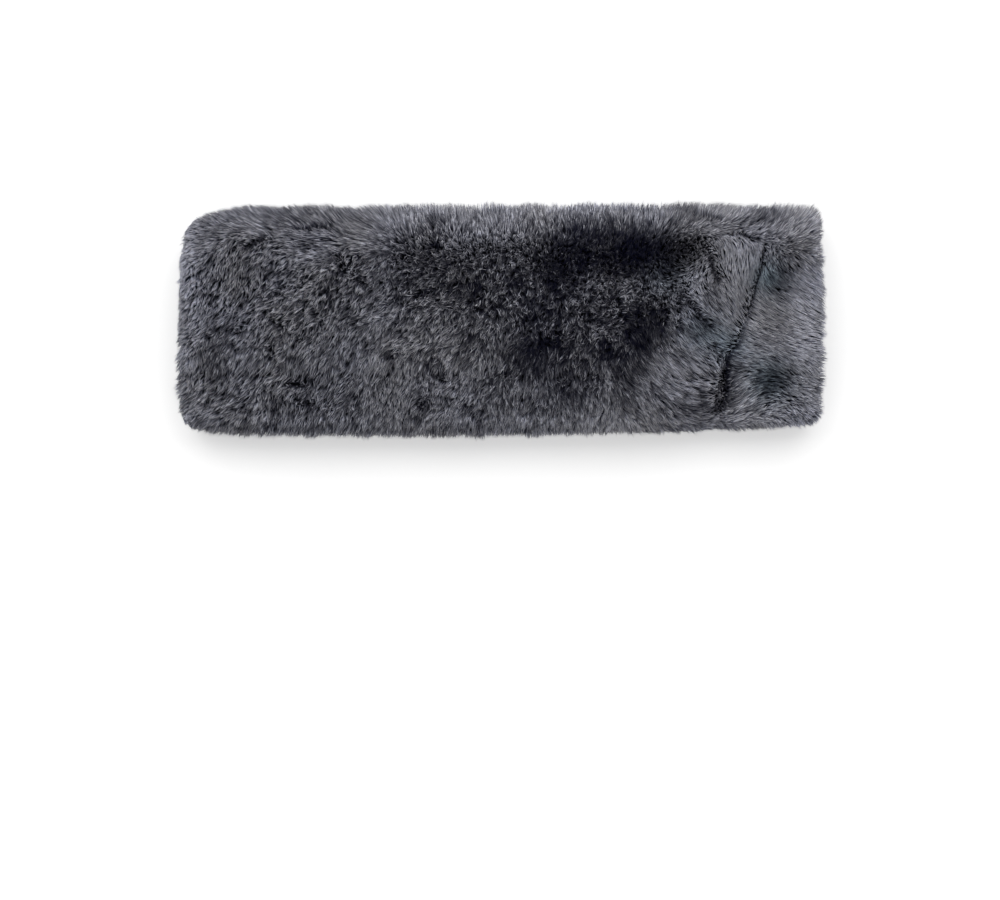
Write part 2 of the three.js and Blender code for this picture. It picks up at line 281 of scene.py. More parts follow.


# %% [markdown]
# ## How the wool lies
# A fleece is never even. Over most of this pad the pile stands up and leans a little towards
# the taped edge; towards the other end it has been brushed over in sweeps that meet at
# partings. The sweeps are a list of combed places, each with the way the wool points, how far
# it lies over and how much it bunches into tufts. Between them the field is blended. Partings
# are lines that the wool leans away from. All places are in millimetres on the front panel.

# %% Combed places, partings, painted shade and light, and dye
# x, y, direction in degrees, lean from 0 (upright) to 1 (flat), tufting from 0 (even) to 1
COMBED = [
    (-128, 40, 200, 0.5, 0.5),
    (-110, 46, 186, 0.8, 0.4),
    (-85, 46, 176, 0.8, 0.4),
    (-60, 46, 172, 0.75, 0.4),
    (-85, 38, 190, 0.45, 0.7),
    (-35, 45, 120, 0.4, 0.6),
    (-10, 46, 100, 0.4, 0.6),
    (15, 46, 95, 0.4, 0.7),
    (40, 46, 85, 0.4, 0.7),
    (60, 46, 75, 0.4, 0.6),
    (-35, 34, 170, 0.12, 0.9),
    (-10, 35, 120, 0.12, 0.6),
    (14, 35, 95, 0.12, 0.7),
    (-127, 10, 248, 0.35, 0.7),
    (-112, 25, 262, 0.4, 0.8),
    (-125, -15, 240, 0.4, 0.7),
    (-122, -35, 232, 0.45, 0.7),
    (-90, 10, 235, 0.38, 0.8),
    (-90, -20, 235, 0.42, 0.7),
    (-60, 15, 232, 0.4, 0.8),
    (-60, -20, 236, 0.45, 0.7),
    (-30, 15, 228, 0.36, 1.0),
    (-30, -15, 236, 0.42, 0.8),
    (0, 20, 262, 0.32, 1.0),
    (0, -20, 245, 0.42, 0.9),
    (20, 0, 250, 0.3, 1.0),
    (40, 25, 90, 0.08, 0.9),
    (55, 5, 0, 0.12, 1.0),
    (40, -20, 255, 0.35, 1.0),
    (62, 28, 60, 0.15, 0.8),
    (-90, -42, 250, 0.45, 0.7),
    (-40, -42, 255, 0.45, 0.7),
    (10, -42, 262, 0.5, 0.7),
    (45, -42, 268, 0.55, 0.6),
    (74, 48, 60, 0.35, 0.5),
    (82, 44, -10, 0.5, 0.4),
    (92, 41, -15, 0.75, 0.4),
    (103, 42, -20, 0.7, 0.4),
    (112, 38, -30, 0.5, 0.4),
    (114, 46, 60, 0.3, 0.5),
    (125, 42, 40, 0.45, 0.5),
    (135, 40, 10, 0.6, 0.4),
    (80, 33, 75, 0.35, 0.5),
    (88, 33, -95, 0.6, 0.15),
    (98, 34, -80, 0.7, 0.1),
    (97, 22, 250, 0.7, 0.1),
    (104, 26, 258, 0.65, 0.1),
    (103, 14, 265, 0.7, 0.1),
    (98, 8, -70, 0.55, 0.15),
    (94, 0, -40, 0.75, 0.4),
    (112, 4, -35, 0.6, 0.15),
    (122, 2, -35, 0.65, 0.15),
    (131, 6, -45, 0.7, 0.2),
    (128, 16, -45, 0.7, 0.25),
    (119, 22, -120, 0.3, 0.5),
    (118, -11, -15, 0.7, 0.3),
    (135, -8, -5, 0.6, 0.3),
    (107, -15, -18, 0.75, 0.35),
    (114, -21, -30, 0.5, 0.5),
    (104, -28, 58, 0.9, 0.7),
    (110, -32, 50, 0.9, 0.7),
    (101, -37, 55, 0.75, 0.6),
    (113, -38, 58, 0.7, 0.5),
    (118, -29, -50, 0.4, 0.5),
    (131, -32, -20, 0.5, 0.4),
    (123, -39, -80, 0.5, 0.5),
    (74, -9, -75, 0.75, 0.8),
    (85, -13, -35, 0.8, 0.8),
    (76, -25, -25, 0.85, 0.8),
    (89, -25, -25, 0.85, 0.7),
    (68, -32, -45, 0.75, 0.8),
    (61, -39, -60, 0.5, 0.6),
    (85, 20, 205, 0.6, 0.25),
    (74, 16, 150, 0.4, 0.6),
    (80, 2, -78, 0.7, 0.6),
    (88, 7, -40, 0.7, 0.5),
]
# points of the line, how wide the wool opens, and how far it leans away
PARTINGS = [
    ([(114, 31), (112, 21), (109.5, 12), (108, 5), (103, -10)], 0.8, 0.2),
    ([(103, -10), (98, -18)], 1.4, 0.3),
    ([(97, -17), (98, -28), (96.5, -36)], 2.8, 0.6),
    ([(89.5, 26), (91, 21), (93.5, 15.5)], 2.4, 0.6),
    ([(87, 45), (95, 43)], 1.0, 0.3),
    ([(103, 36.5), (111, 34)], 1.0, 0.3),
    ([(77, 12), (77, -5)], 1.0, 0.5),
    ([(78, 12), (83, 4), (91, -4)], 1.4, 0.5),
    ([(70, 4), (71.5, 0), (70, -5)], 1.5, 0.5),
    ([(-101, 35.5), (-110, 30)], 1.8, 0.6),
    ([(-87, 39), (-75, 40)], 1.0, 0.4),
    ([(-72, 26), (-67, 19)], 1.9, 0.3),
    ([(-96, 10), (-93, 13)], 1.0, 0.3),
    ([(-60, 15), (-58, 12)], 1.0, 0.3),
    ([(-99, -1), (-94, -4.5)], 1.4, 0.4),
    ([(-115, -6), (-110, -4)], 1.0, 0.3),
    ([(-79, -3), (-76, -1)], 0.9, 0.3),
    ([(-100, -13), (-99, -17)], 1.5, 0.4),
    ([(-51, -18), (-45, -16.5)], 0.9, 0.3),
    ([(-93, -28.5), (-85, -29)], 1.0, 0.4),
    ([(-88, -37.5), (-81, -37)], 0.9, 0.3),
    ([(-32, -35), (-35, -38)], 1.5, 0.7),
]
# x, y, reach along x, reach along y, and how much painted shade (above 0) or painted light (below 0)
# the wool gets there: shade for its hollows and upright wool, light for its fringe
PAINTED_SHADE_AND_LIGHT = [
    (-36, 22, 32, 20, 0.35),
    (6, 14, 36, 30, 0.48),
    (32, -10, 36, 26, 0.53),
    (12, -18, 8, 11, 0.5),
    (-33, 15, 9, 10, 0.25),
    (67, 0, 8, 8, 0.35),
    (24, 20, 9, 12, 0.35),
    (12, 20, 9, 9, 0.3),
    (-40, 45, 13, 6, -0.25),
    (-11, 10, 7, 7, -0.25),
    (46, 30, 38, 14, 0.88),
    (66, 26, 22, 13, 0.7),
    (36, 41, 13, 8, 0.5),
    (28, 20, 12, 9, 0.4),
    (63, -3, 12, 14, 0.8),
    (22, -16, 14, 14, 0.55),
    (60, -8, 12, 9, 0.3),
    (56, -19, 10, 11, 0.5),
    (-123, -18, 9, 12, 0.35),
    (-60, 40, 30, 7, 0.15),
    (129, 32, 5, 6, 0.3),
    (124, 24, 7, 7, 0.35),
    (120, 15, 6, 7, 0.5),
    (115, 45, 8, 5, 0.55),
    (117, -26, 10, 6, 0.55),
    (99, -26, 5, 12, 0.45),
    (88, -38, 11, 5, 0.55),
    (90, 14, 4, 8, 0.25),
    (77, -24, 16, 13, -0.5),
    (99, 24, 13, 16, -0.3),
    (107, 28, 17, 12, -0.2),
    (104, -6, 15, 16, -0.25),
    (130, -4, 10, 16, -0.32),
    (-60, 46, 70, 4, 0.25),
    (-2, 33, 16, 5, -0.3),
    (-15, 49, 60, 5, -0.45),
    (138, -2, 14, 60, -0.5),
    (-139, 0, 12, 60, -0.75),
    (70, -46, 45, 5, -0.35),
    (22, -36, 48, 7, 0.22),
    (122, -43, 18, 7, -0.45),
    (-137, 22, 9, 15, -0.5),
    (-132, -46, 16, 6, -0.4),
    (2, -24, 10, 9, 0.4),
    (56, -28, 8, 12, 0.35),
    (-15, 5, 34, 14, 0.2),
    (-25, 20, 14, 10, 0.15),
    (45, 18, 26, 8, 0.2),
    (-20, -13, 34, 9, 0.15),
    (30, -13, 30, 9, 0.25),
    (20, -34, 40, 8, 0.15),
    (84, 18, 10, 10, -0.5),
    (92, -4, 8, 4, 0.15),
    (79, 45, 7, 5, 0.35),
    (-67, 44, 9, 5, 0.2),
    (10, 43, 14, 5, 0.15),
    (-89, -24, 7, 6, -0.22),
    (75, -36, 11, 5, -0.2),
    (-122, -44, 16, 5, -0.2),
]
# x, y, reach and strength of places where the dye has taken a teal cast
TEAL = [
    (115, 18, 7, 0.7),
    (115, -26, 9, 0.7),
    (86, -5, 8, 0.45),
    (98, -11, 8, 0.5),
    (70, 19, 9, 0.35),
]

COMB_REACH = 8  # how far one combed place is felt
PARTING_REACH = 1.6  # how far a parting turns the lean, of its width
PARTING_LINE = 0.6  # how far its painted shade darkens the wool, of its width
PARTING_SHADE = 0.92
SHADE_CORE = 0.4  # a place of painted shade or light is even to here, of its reach
SHADE_FADE = 0.9  # and fades out over this share
LEAN_REACH = 8.5 * MM  # how far the tip of flat wool lies from above its root


def distance_to_line(places, line):
    """Distance of each place to a line of points, and the way from the line to it."""
    best = np.full(len(places), np.inf)
    away = np.zeros((len(places), 2))
    for start, end in itertools.pairwise(np.array(line, float)):
        run = end - start
        share = np.clip((places - start) @ run / (run @ run), 0, 1)
        off = places - start - share[:, None] * run
        reach = np.hypot(*off.T)
        nearer = reach < best
        best[nearer] = reach[nearer]
        away[nearer] = off[nearer] / np.maximum(reach[nearer], 1e-6)[:, None]
    return best, away


def ease(value):
    """Smooth step from 0 to 1."""
    share = np.clip(value, 0, 1)
    return share * share * (3 - 2 * share)


def comb_field(places):
    """How the wool leans at each place, as a flat vector, and how tufted it is."""
    combed = np.array(COMBED)
    ways = np.radians(combed[:, 2])
    lying, tufted = combed[:, 3], combed[:, 4]
    values = np.column_stack([lying * np.cos(ways), lying * np.sin(ways), tufted])
    offsets = places[:, None] - combed[None, :, :2]
    weights = np.exp(-np.sum(offsets**2, axis=2) / (2 * COMB_REACH**2)) + 1e-9
    blended = weights @ values / weights.sum(axis=1)[:, None]
    lean, tufting = blended[:, :2], blended[:, 2]
    for line, width, push in PARTINGS:
        reach, away = distance_to_line(places, line)
        near = np.exp(-((reach / (PARTING_REACH * width)) ** 2))[:, None]
        spread = np.minimum(push, reach * MM / LEAN_REACH)[:, None]
        lean = lean * (1 - near) + away * near * spread
    return lean, tufting


def painted_shade_field(places):
    """What share of its brightness the wool keeps at each place under painted shade and painted light,
    the partings' painted shade included.
    """
    shade = np.ones(len(places))
    for x, y, rx, ry, dark in PAINTED_SHADE_AND_LIGHT:
        reach = np.hypot((places[:, 0] - x) / rx, (places[:, 1] - y) / ry)
        shade *= 1 - dark * (1 - ease((reach - SHADE_CORE) / SHADE_FADE))
    # painted shade along each parting
    for line, width, _ in PARTINGS:
        reach, _ = distance_to_line(places, line)
        shade *= 1 - PARTING_SHADE * np.exp(-((reach / (PARTING_LINE * width)) ** 2))
    return shade


def teal_field(places):
    """How much of the teal cast the dye has at each place."""
    cast = np.zeros(len(places))
    for x, y, reach, strength in TEAL:
        cast += strength * np.exp(-(np.hypot(places[:, 0] - x, places[:, 1] - y) / reach) ** 2)
    return np.clip(cast, 0, 1)


print(f"{len(COMBED)} combed places, {len(PARTINGS)} partings, {len(PAINTED_SHADE_AND_LIGHT)} shaded places")


# %% Smooth noise
HASH_WAY = np.array([127.1, 311.7, 74.7])
HASH_STEP = 13.7
HASH_SCALE = 43758.5453
SEED_SHIFT = 0.37


def noise(points, size, seed):
    """Smooth noise from -1 to 1 over points in space, with humps about size apart."""
    cell = points / size + SEED_SHIFT * seed
    base = np.floor(cell)
    part = ease(cell - base)
    total = 0
    for corner in itertools.product((0, 1), repeat=3):
        weight = np.prod(np.where(corner, part, 1 - part), axis=1)
        spot = (base + corner) @ HASH_WAY + HASH_STEP * seed
        total = total + weight * np.modf(np.abs(np.sin(spot)) * HASH_SCALE)[0]
    return 2 * total - 1


# %% [markdown]
# ## Where the strands end
# The ends of the strands are spread over the skin by drawing lots: a face is drawn in
# proportion to its area, and a point is drawn on it. The strands on the front carry the
# picture, so that is where most of them go. Each group becomes a piece of its own, so that no
# piece grows too large.

# %% Draw the strands' ends
FRONT_SPLITS = (-60 * MM, 5 * MM, 68 * MM)  # the front is cut into four groups here
FACING = 0.5  # a face belongs to the front or back if its normal points so far up or down
BACK_TOP = 3 * MM  # and to the back only if it lies under this height
COUNTS = {
    "wool_front_a": 27000,
    "wool_front_b": 29000,
    "wool_front_c": 32500,
    "wool_front_d": 25500,
    "wool_rims": 26000,
    "wool_back": 10500,
}
RIM_WEIGHTS = (0.7, 1.6)  # for faces that look down, and up
SEED = 7

rng = np.random.default_rng(SEED)
corners = skin_points[skin_faces]
crosses = np.cross(corners[:, 1] - corners[:, 0], corners[:, 2] - corners[:, 0])
face_areas = np.linalg.norm(crosses, axis=1) / 2
face_up = crosses[:, 2] / np.maximum(2 * face_areas, 1e-12)
face_x, _, face_z = corners.mean(axis=1).T
wool_face = ~hide_face
front_face = wool_face & (face_up > FACING)
back_face = wool_face & (face_up < -FACING) & (face_z < BACK_TOP)
rim_face = wool_face & ~front_face & ~back_face
front_part = np.digitize(face_x, FRONT_SPLITS)
GROUPS = {
    f"wool_front_{letter}": front_face & (front_part == part)
    for part, letter in enumerate("abcd")
}
GROUPS["wool_rims"] = rim_face
GROUPS["wool_back"] = back_face


def draw_ends(chosen, count, weights=1.0):
    """Points drawn over the chosen faces, and the smooth normal at each."""
    share = face_areas * chosen * weights
    picked = rng.choice(len(share), size=count, p=share / share.sum())
    u = np.sqrt(rng.random(count))[:, None]
    v = rng.random(count)[:, None]
    blend = np.hstack([1 - u, u * (1 - v), u * v])[:, :, None]
    points = (skin_points[skin_faces[picked]] * blend).sum(axis=1)
    normals = (skin_normals[skin_faces[picked]] * blend).sum(axis=1)
    return points, normals / np.linalg.norm(normals, axis=1)[:, None]


for group, chosen in GROUPS.items():
    area = face_areas[chosen].sum() / MM**2
    print(f"{group}: {area:.0f} square mm, {COUNTS[group] / area:.2f} strands on each")

# %% [markdown]
# ## Locks
# Wool doesn't stand as single hairs. It gathers into locks less than 2 mm apart, whose tips close
# up and leave dark gaps between them, and that is what the eye reads as fleece. The centres of
# the locks are drawn over the whole skin in the same way, and each strand is pulled towards
# the lock that it is nearest to.

# %% Draw the locks
LOCK_SPACING = 1.7 * MM
LOCK_GATHER = (0.2, 0.65)  # how far a lock pulls its strands to its middle
LOCK_RISE = 0.35 * MM  # how far its tips stand above or below the others
LOCK_LEAN = 0.5 * MM  # and how far to a side
LOCK_TONE = 0.3  # how much the dye varies from lock to lock

lock_count = int(face_areas[wool_face].sum() / LOCK_SPACING**2)
lock_points, _ = draw_ends(wool_face, lock_count)
lock_tree = KDTree(lock_count)
for lock, point in enumerate(lock_points.tolist()):
    lock_tree.insert(point, lock)
lock_tree.balance()
lock_gather = rng.uniform(*LOCK_GATHER, lock_count)
lock_rise = rng.normal(0, LOCK_RISE, lock_count)
lock_lean = rng.normal(0, LOCK_LEAN, (lock_count, 3))
lock_tone = rng.normal(0, LOCK_TONE, lock_count)
print(f"{lock_count} locks")

# %% [markdown]
# ## One strand
# A strand is a slim three-sided spindle: a cone of three sides whose base is drawn down to a
# point. It is thickest at its bend and has only six faces, because it is repeated more than a
# hundred thousand times.

# %% Model a strand
STRAND_WAIST = 0.45  # height of the thickest part
AXIS_REACH = 0.1  # a point nearer to the axis than this lies on it

strand_bm = bmesh.new()
bmesh.ops.create_cone(
    strand_bm, cap_ends=True, cap_tris=True, segments=3, radius1=1, radius2=0, depth=1
)
bmesh.ops.remove_doubles(strand_bm, verts=strand_bm.verts, dist=1e-4)
for vert in strand_bm.verts:
    on_base = vert.co.z < 0
    on_axis = math.hypot(vert.co.x, vert.co.y) < AXIS_REACH
    vert.co.z = (0 if on_axis else STRAND_WAIST) if on_base else 1
bmesh.ops.recalc_face_normals(strand_bm, faces=strand_bm.faces)
strand_points, strand_faces = shape_of(strand_bm)
strand_bm.free()
print(f"strand of {len(strand_points)} points and {len(strand_faces)} faces")

# %% [markdown]
# ## Repeating the strand
# Each strand follows a curve from its root over a bend to its tip. The modelled strand is laid
# along that curve: the height of a point of the strand says where on the curve it goes, and its
# other two coordinates go sideways. Numpy does this for all strands at once. Two attributes go
# along for the material: the strand's dye with its painted shade, and how far up the strand a
# point lies. Each strand also gets a little square of its own on a UV map, so that its colours
# can be baked.


# %% Lay strands along their curves
CELL_MARGIN = 0.12  # kept free on each side of a cell of the map


def sideways(along):
    """Two directions square to each given one, turned at random about it."""
    along = along / np.linalg.norm(along, axis=1)[:, None]
    helper = rng.normal(size=along.shape)
    side = np.cross(along, helper)
    side /= np.linalg.norm(side, axis=1)[:, None]
    return side, np.cross(along, side)


def copies(name, points, faces, flat_map):
    """An object made of copies of one shape. Each copy has its own cell on the map."""
    count, size = points.shape[:2]
    corners_of_all = (faces[None] + size * np.arange(count)[:, None, None]).reshape(-1, 3)
    mesh = bpy.data.meshes.new(name)
    mesh.vertices.add(count * size)
    mesh.vertices.foreach_set("co", points.astype(np.float32).ravel())
    mesh.loops.add(corners_of_all.size)
    mesh.loops.foreach_set("vertex_index", corners_of_all.astype(np.int32).ravel())
    mesh.polygons.add(len(corners_of_all))
    mesh.polygons.foreach_set("loop_start", np.arange(0, corners_of_all.size, 3, dtype=np.int32))
    mesh.update(calc_edges=True)
    mesh.shade_smooth()

    grid = math.ceil(math.sqrt(count))
    cells = np.column_stack([np.arange(count) % grid, np.arange(count) // grid])
    local = CELL_MARGIN + (1 - 2 * CELL_MARGIN) * flat_map[faces.ravel()]
    places = (cells[:, None] + local[None]) / grid
    layer = mesh.uv_layers.new(name="OFBake")
    layer.uv.foreach_set("vector", places.astype(np.float32).ravel())
    return new_object(name, mesh)


def set_dye_and_painted_shade(mesh, dyes_with_shade):
    """Give each point of a mesh its dye, with the painted shade in it."""
    layer = mesh.attributes.new("dye_and_painted_shade", "FLOAT_COLOR", "POINT")
    colours = np.column_stack([dyes_with_shade, np.ones(len(dyes_with_shade))])
    layer.data.foreach_set("color", colours.astype(np.float32).ravel())


def lay_strands(name, roots, bends, tips, widths, dyes_with_shade):
    """An object with one strand for each root."""
    count, size = len(roots), len(strand_points)
    rise = strand_points[:, 2]
    side, other = sideways(tips - roots)
    curve = (
        roots[:, None] * ((1 - rise) ** 2)[None, :, None]
        + bends[:, None] * (2 * rise * (1 - rise))[None, :, None]
        + tips[:, None] * (rise**2)[None, :, None]
    )
    x, y = strand_points[None, :, :1], strand_points[None, :, 1:2]
    points = curve + (side[:, None] * x + other[:, None] * y) * widths[:, None, None]
    points[:, :, 2] = np.maximum(points[:, :, 2], CLEARANCE / 2)
    flat_map = np.column_stack([0.5 + 0.5 * strand_points[:, 0], rise])
    made = copies(name, points, strand_faces, flat_map)

    set_dye_and_painted_shade(made.data, np.repeat(dyes_with_shade, size, axis=0))
    heights = made.data.attributes.new("wool_rise", "FLOAT", "POINT")
    heights.data.foreach_set("value", np.tile(rise, count).astype(np.float32))
    return made


# %% [markdown]
# ## Combing
# Now every strand gets its curve. Its tip is the drawn point, pulled into its lock and raised or
# sunk with it. Wool between two locks sinks a little, and larger gaps wind through the fleece
# here and there. At the sides the tips stand out past the skin in an uneven fringe, most where
# the hide bends at the fold, and at the rounded corners they are drawn in. The root stands on
# the hide, back along the way that the wool leans, and each strand leans a little its own way.
# The bend lies above the root, so a strand leaves the hide upright and lays itself over near its
# end. Only the upper part of a strand can be seen between its neighbours, so it starts inside
# the underwool and not down on the hide.

# %% Locks, gaps and fringe
TIP_RISE = 0.8 * MM  # how far the tips of the front stand out past the skin
LOCK_CORE = 0.25  # a lock stands full to here, of the spacing
LOCK_FADE = 0.5  # and sinks over this share
LOCK_SINK = 0.6 * MM  # how far the wool between two locks lies below them
GAP_SINK = 1.2 * MM  # the same in the larger gaps
GAP_SIZE = 5.5 * MM
GAP_WIDTH = 0.15
GAP_BREAKS = 8.8 * MM  # how far apart a larger gap comes and goes
GAP_MIDDLE = 0.5  # how full it usually is
GAP_SWING = 1.5  # and how far this changes
# x, and how far the wool stands out past the skin over the fold and over the taped edge, in mm
SPREAD = [
    (-120, 1.9, 1.0),
    (-112, 0.8, 1.0),
    (-102, 2.4, 0.9),
    (-78, 2.6, 1.3),
    (-44, 3.4, 1.3),
    (-18, 3.8, 1.3),
    (-2, 4.2, 1.3),
    (8, 2.6, 1.3),
    (34, 1.4, 0.4),
    (60, 1.9, -0.6),
    (77, 4.2, -0.2),
    (88, 3.6, 0.2),
    (103, 3.2, 0.8),
    (130, 2.8, 0.4),
]
# y, and the same over the left end and over the right end
END_SPREAD = [
    (-48, -1.2, 0.2),
    (-38, -1.0, 0.6),
    (-30, 0.4, 1.3),
    (-13, 0.4, 1.3),
    (-4, -0.9, 1.2),
    (4, -1.9, -0.3),
    (9, -1.9, 0.6),
    (22, -2.2, 0.8),
    (30, -1.6, 0.0),
    (40, -1.6, -0.7),
    (48, -0.9, 0.2),
]
END_ROUNDING = 22 * MM  # how far in from the left end the fold and edge spread in full
FRINGE = 1.1 * MM  # how much the spread changes from tuft to tuft
FRINGE_SIZE = 4 * MM
FULL_PILE = 10 * MM  # wool shorter than this, at the cut ends, sinks less
# x, y, reach and pull of the rounded corners
CORNERS = [(-140, 50, 13, (4.2, -3.0)), (-140, -50, 12, (3.0, 2.8))]


def corner_pull(places):
    """How far the wool is drawn in at the rounded corners."""
    pull = np.zeros((len(places), 3))
    for x, y, reach, by in CORNERS:
        share = 1 - ease(np.hypot(places[:, 0] - x, places[:, 1] - y) / reach)
        pull[:, :2] += share[:, None] * np.array(by) * MM
    return pull


def lock_edge(ends, locks):
    """How far out in its lock each strand stands: 0 in the middle, 1 in the gap to the next."""
    out = np.linalg.norm(ends - lock_points[locks], axis=1) / LOCK_SPACING
    return ease((out - LOCK_CORE) / LOCK_FADE)


def gap_field(points):
    """Where the larger gaps run: winding lines, 1 in their middle, that come and go."""
    line = np.exp(-((noise(points, GAP_SIZE, 5) / GAP_WIDTH) ** 2))
    return line * ease(GAP_MIDDLE + GAP_SWING * noise(points, GAP_BREAKS, 6))


def end_spread(points, normals):
    """How far the wool stands out past the skin over the two cut ends."""
    y, at_left, at_right = np.array(END_SPREAD).T
    reach = np.interp(points[:, 1] / MM, y, at_left) * np.maximum(-normals[:, 0], 0)
    reach += np.interp(points[:, 1] / MM, y, at_right) * np.maximum(normals[:, 0], 0)
    return reach * MM


def spread_at(ends, normals):
    """How far the wool stands out past the skin at the sides and ends, most over the fold."""
    x, over_fold, over_edge = np.array(SPREAD, float).T
    within = ease((ends[:, 0] + HIDE_LENGTH / 2) / END_ROUNDING)
    reach = np.interp(ends[:, 0] / MM, x, over_fold) * np.maximum(normals[:, 1], 0)
    reach += np.interp(ends[:, 0] / MM, x, over_edge) * np.maximum(-normals[:, 1], 0)
    sideways_share = np.hypot(normals[:, 0], normals[:, 1])
    fringe = FRINGE * sideways_share * noise(ends, FRINGE_SIZE, 7)
    return reach * within * MM + end_spread(ends, normals) + fringe


print(f"the wool stands out past the skin by up to {max(max(row[1:]) for row in SPREAD)} mm")

# %% Comb the strands
START_SHARE = 0.38  # height in the pile at which a strand starts
GATHER_SPREAD = (0.6, 1.1)  # how much the pull to the lock varies from strand to strand
STRAND_LEAN = 0.11  # how much the lean does
CURL = 1.1  # how far upright wool turns about, in radians
CURL_STRETCH = 0.4  # how much further, or less far, it leans there
CURL_SIZE = 6 * MM
BEND_SHARE = 0.96  # height in the pile of the bend
BEND_FOLLOW = 0.5  # how far the bend goes with the tip
BEND_LEAN = 0.25  # how far the bend lies over with the lean
BEND_STRAY = 0.45 * MM


def flat_on(vectors, normals):
    """The part of each vector that lies in the surface."""
    return vectors - normals * np.sum(vectors * normals, axis=1)[:, None]


def curled(lean, tufting, ends):
    """The lean, turned this way and that. Upright, tufted wool turns most."""
    upright = 1 - np.clip(np.hypot(*lean.T), 0, 1)
    turn = CURL * upright * tufting * noise(ends, CURL_SIZE, 3)
    cos, sin = np.cos(turn), np.sin(turn)
    along, across = lean.T
    turned = np.column_stack([along * cos - across * sin, along * sin + across * cos])
    return turned * (1 + CURL_STRETCH * tufting * noise(ends, CURL_SIZE, 4))[:, None]


def combed_at(ends, normals, scale):
    """How the wool that ends at each point leans along the surface, and how tufted it is."""
    flat_lean, tufting = comb_field(ends[:, :2] / MM)
    lean = np.zeros((len(ends), 3))
    lean[:, :2] = curled(flat_lean, tufting, ends) * scale
    return flat_on(lean, normals), tufting


def curves_for(ends, normals, lean, tufting, locks, stray):
    """Root, bend and tip of the strand that ends at each point."""
    count = len(ends)
    gather = lock_gather[locks] * rng.uniform(*GATHER_SPREAD, count) * tufting
    tips = ends + (lock_points[locks] - ends) * gather[:, None]
    tips += flat_on(lock_lean[locks], normals) * tufting[:, None]
    tips += corner_pull(ends[:, :2] / MM)
    sink = LOCK_SINK * lock_edge(ends, locks) + GAP_SINK * gap_field(ends)
    rise = (lock_rise[locks] - sink) * tufting + rng.normal(0, stray, count)
    rise += TIP_RISE * np.maximum(normals[:, 2], 0) + spread_at(ends, normals)
    astray = flat_on(rng.normal(0, STRAND_LEAN, (count, 3)), normals) * tufting[:, None]
    above = ends - (lean + astray) * LEAN_REACH
    foot, height = feet(above)
    rise *= np.where(rise < 0, ease(height / FULL_PILE), 1)
    tips += normals * rise[:, None]
    out = (above - foot) / height[:, None]
    roots = foot + out * (START_SHARE * height)[:, None]
    bends = foot + out * (BEND_SHARE * height)[:, None] + (tips - ends) * BEND_FOLLOW
    bends += flat_on(rng.normal(0, BEND_STRAY, (count, 3)), normals) + lean * LEAN_REACH * BEND_LEAN
    return roots, bends, tips


print(f"a strand starts at {START_SHARE:.0%} and bends at {BEND_SHARE:.0%} of the pile's height")

# %% [markdown]
# ## Dyeing and painted shade
# The wool is a slate grey that is never even. Patches, tufts and single strands are lighter or
# darker than their neighbours. Painted shade darkens the hollows, the partings and the gaps
# between locks, where the wool turns a navy black, and painted light brightens the fringe along
# the ends and the fold. Each strand gets one colour of dye and painted shade, read at the middle
# of the part of it that can be seen.

# %% Dye the strands and paint their shade
WOOL_DYE = np.array([0.426, 0.427, 0.472])
TEAL_DYE = np.array([0.215, 0.300, 0.350])
NAVY_DYE_AND_SHADE = np.array([0.0002, 0.0008, 0.0150])  # the navy black that dark wool turns to: partly the dye of dark strands, partly painted shade in the shaded places and gaps
HUE_SHIFT = np.array([0.03, 0.018, -0.022])  # how far the dye turns warmer here and bluer there
HUE_SIZE = 16 * MM
PATCH_TONE = 0.18  # how much the dye varies from patch to patch
PATCH_SIZE = 26 * MM
TUFT_TONE = 0.35  # from tuft to tuft
TUFT_SIZE = 5 * MM
STRAND_TONE = 0.9  # and from strand to strand
DARK_TONE = 0.3  # how much more where the painted shade is darkest
EVEN_TONE = 0.1  # how much of this untufted wool keeps
TONE_LIMITS = (0.01, 2.1)
EDGE_SHADE = 0.7  # how much painted shade darkens the wool between two locks
GAP_SHADE = 0.9  # and in the larger gaps
SEEN_BACK = 0.34  # how far back from its tip the middle of a strand's seen part lies, of its lean


def tone_and_painted_shade(points, tufting=1.0):
    """How strong the wool's colour is at each point: a tone that differs at random, the more so in
    tufted wool, times the painted shade and light on the front.
    """
    patches = PATCH_TONE * noise(points, PATCH_SIZE, 1)
    tufts = TUFT_TONE * tufting * noise(points, TUFT_SIZE, 2)
    on_front = points[:, 2] > fold_z
    # the painted shade and light of the front multiply the tone
    return (1 + patches + tufts) * np.where(on_front, painted_shade_field(points[:, :2] / MM), 1)


def strand_dyes_with_shade(seen, tufting, edge, locks):
    """The colour of each strand: its dye, uneven from lock to lock and from strand to strand too, with
    painted shade between locks, in the larger gaps and in the shaded places, turning navy where it is
    deep.
    """
    shade = tone_and_painted_shade(seen, tufting)
    spread = STRAND_TONE * (1 + DARK_TONE * np.clip(1 - shade, 0, 1))
    uneven = lock_tone[locks] + spread * rng.normal(0, 1, len(seen))
    tone = shade * np.exp(uneven * (EVEN_TONE + (1 - EVEN_TONE) * tufting))
    # painted shade between the locks and in the larger gaps
    tone *= (1 - EDGE_SHADE * edge * tufting) * (1 - GAP_SHADE * gap_field(seen) * tufting)
    tone = np.clip(tone, *TONE_LIMITS)[:, None]
    cast = (teal_field(seen[:, :2] / MM) * (seen[:, 2] > fold_z))[:, None]
    dye = WOOL_DYE * (1 - cast) + TEAL_DYE * cast
    dye *= 1 + HUE_SHIFT * noise(seen, HUE_SIZE, 8)[:, None]
    # where the tone is low the colour turns to the navy black of dark dye and painted shade
    return dye * tone + NAVY_DYE_AND_SHADE * np.clip(1 - tone, 0, 1)


print("wool dye", WOOL_DYE, "with a teal cast of", TEAL_DYE)

